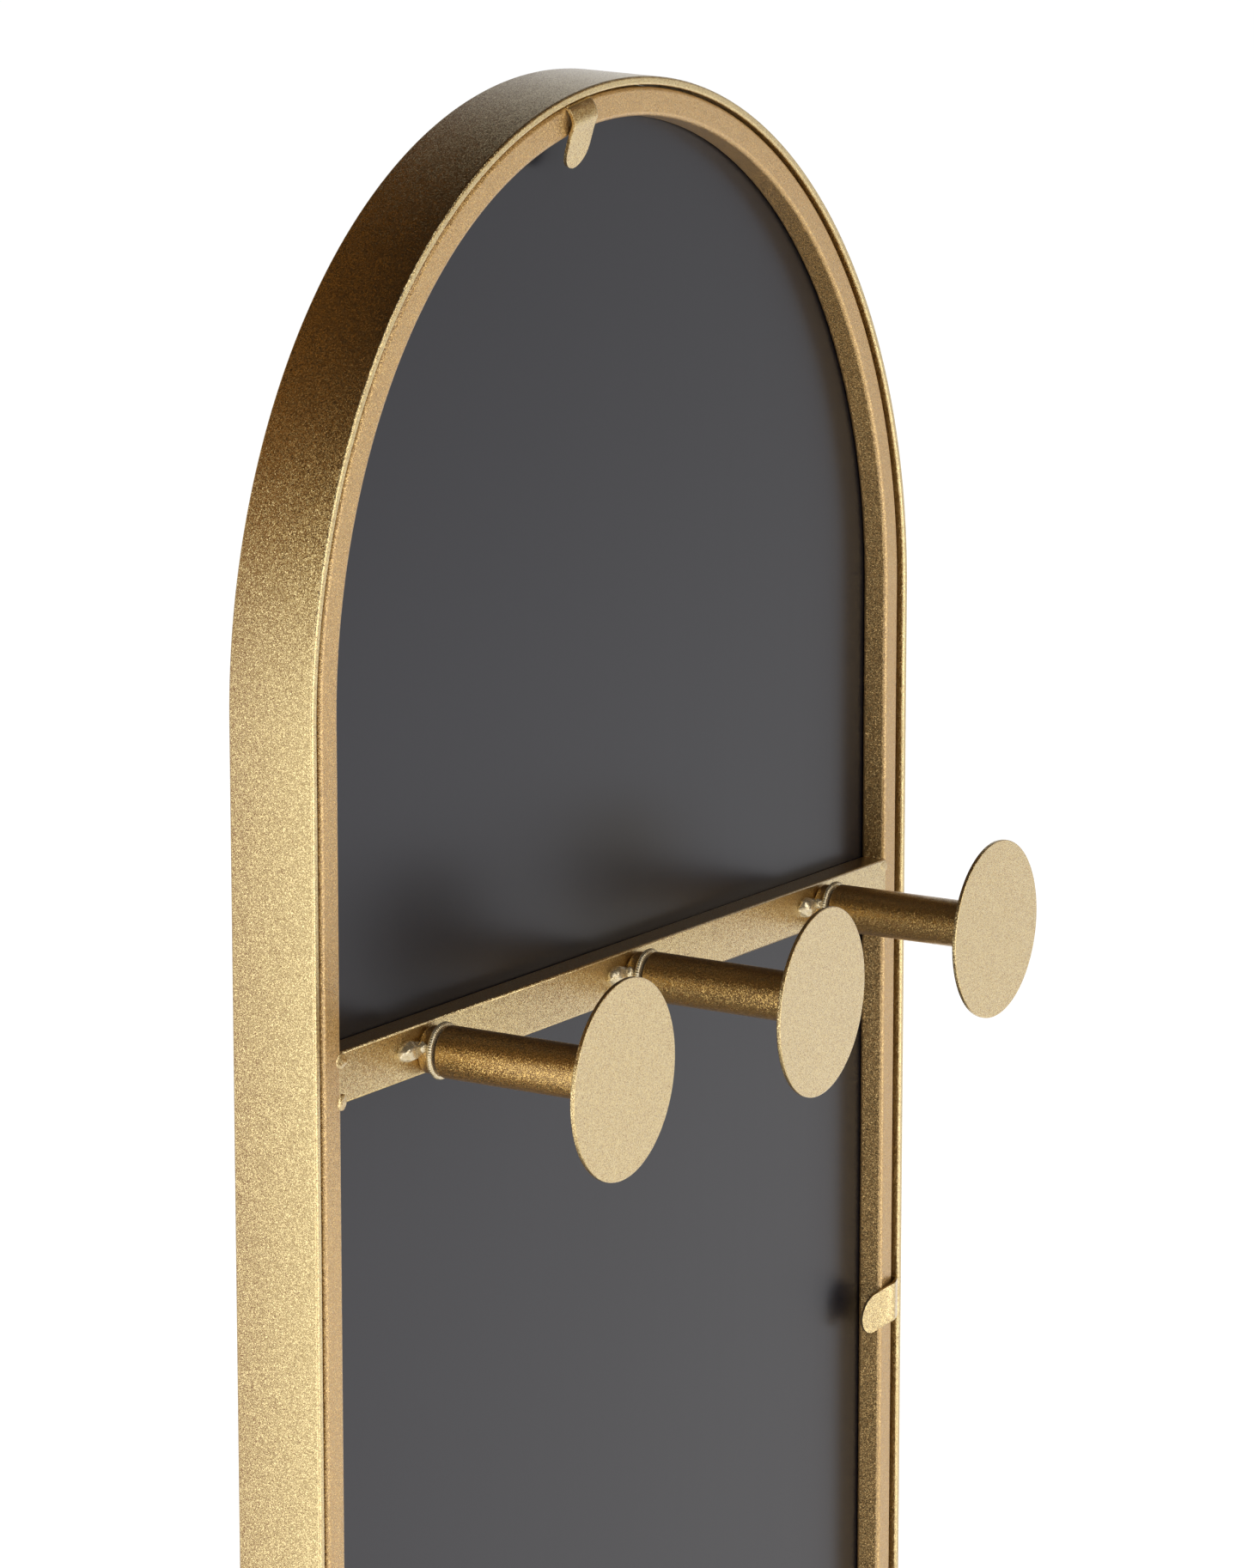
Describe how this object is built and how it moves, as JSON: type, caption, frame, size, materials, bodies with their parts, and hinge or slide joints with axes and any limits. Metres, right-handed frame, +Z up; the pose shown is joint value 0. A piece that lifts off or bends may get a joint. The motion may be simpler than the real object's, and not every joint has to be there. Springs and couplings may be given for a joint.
{
  "type": "coat rack with mirror",
  "caption": "Free-standing arched full-length mirror in a gold metal hoop, with a rear crossbar carrying coat pegs that end in flat discs, on a flat base plate.",
  "frame": {"origin": "on the floor, under the middle of the base plate", "axes": "+Z up, the mirror looks along -Y and the pegs point along +Y; left is +X, as seen from the pegs' side"},
  "size_m": [0.42, 0.32, 1.7],
  "materials": {
    "gold_powder_coat": "satin",
    "dark_board": "satin",
    "mirror_glass": "polished",
    "zinc_steel": "satin",
    "black_rubber": "matte"
  },
  "bodies": {
    "stand": {"outer_hoop": "gold_powder_coat", "inner_frame": "gold_powder_coat", "glass_stop": "gold_powder_coat", "crossbar": "gold_powder_coat", "crossbar_welds_left": "gold_powder_coat", "crossbar_welds_right": "gold_powder_coat", "peg_tack_welds": "gold_powder_coat", "tab_legs": "gold_powder_coat", "bottom_rail": "gold_powder_coat", "base_plate": "gold_powder_coat", "peg_socket_left": "gold_powder_coat", "peg_tube_left": "gold_powder_coat", "peg_disc_left": "gold_powder_coat", "peg_socket_middle": "gold_powder_coat", "peg_tube_middle": "gold_powder_coat", "peg_disc_middle": "gold_powder_coat", "peg_socket_right": "gold_powder_coat", "peg_tube_right": "gold_powder_coat", "peg_disc_right": "gold_powder_coat", "backing_board": "dark_board", "mirror_glass": "mirror_glass", "peg_stud_left": "zinc_steel", "peg_stud_middle": "zinc_steel", "peg_stud_right": "zinc_steel", "peg_plug_left": "zinc_steel", "peg_plug_middle": "zinc_steel", "peg_plug_right": "zinc_steel", "base_screws": "zinc_steel", "rail_weld_nuts": "zinc_steel", "floor_pads": "black_rubber", "setting_blocks": "black_rubber", "glass_cushion_tape": "black_rubber"},
    "tab_top": {"tab_tongue_top": "gold_powder_coat"},
    "tab_upper_left": {"tab_tongue_upper_left": "gold_powder_coat"},
    "tab_upper_right": {"tab_tongue_upper_right": "gold_powder_coat"},
    "tab_middle_left": {"tab_tongue_middle_left": "gold_powder_coat"},
    "tab_middle_right": {"tab_tongue_middle_right": "gold_powder_coat"},
    "tab_lower_left": {"tab_tongue_lower_left": "gold_powder_coat"},
    "tab_lower_right": {"tab_tongue_lower_right": "gold_powder_coat"}
  },
  "joints": [
    {"name": "tab_top_bend", "type": "hinge", "parent": "stand", "child": "tab_top", "pos_m": [0.0408, 0.0156, 1.69197], "axis": [0.9781, 0, -0.2079], "range_deg": [0, 80]},
    {"name": "tab_upper_left_bend", "type": "hinge", "parent": "stand", "child": "tab_upper_left", "pos_m": [0.1964, 0.0156, 1.20756], "axis": [0, 0, -1], "range_deg": [0, 80]},
    {"name": "tab_upper_right_bend", "type": "hinge", "parent": "stand", "child": "tab_upper_right", "pos_m": [-0.1964, 0.0156, 1.21956], "axis": [0, 0, 1], "range_deg": [0, 80]},
    {"name": "tab_middle_left_bend", "type": "hinge", "parent": "stand", "child": "tab_middle_left", "pos_m": [0.1964, 0.0156, 0.6393], "axis": [0, 0, -1], "range_deg": [0, 80]},
    {"name": "tab_middle_right_bend", "type": "hinge", "parent": "stand", "child": "tab_middle_right", "pos_m": [-0.1964, 0.0156, 0.6513], "axis": [0, 0, 1], "range_deg": [0, 80]},
    {"name": "tab_lower_left_bend", "type": "hinge", "parent": "stand", "child": "tab_lower_left", "pos_m": [0.1964, 0.0156, 0.07104], "axis": [0, 0, -1], "range_deg": [0, 80]},
    {"name": "tab_lower_right_bend", "type": "hinge", "parent": "stand", "child": "tab_lower_right", "pos_m": [-0.1964, 0.0156, 0.08304], "axis": [0, 0, 1], "range_deg": [0, 80]}
  ]
}
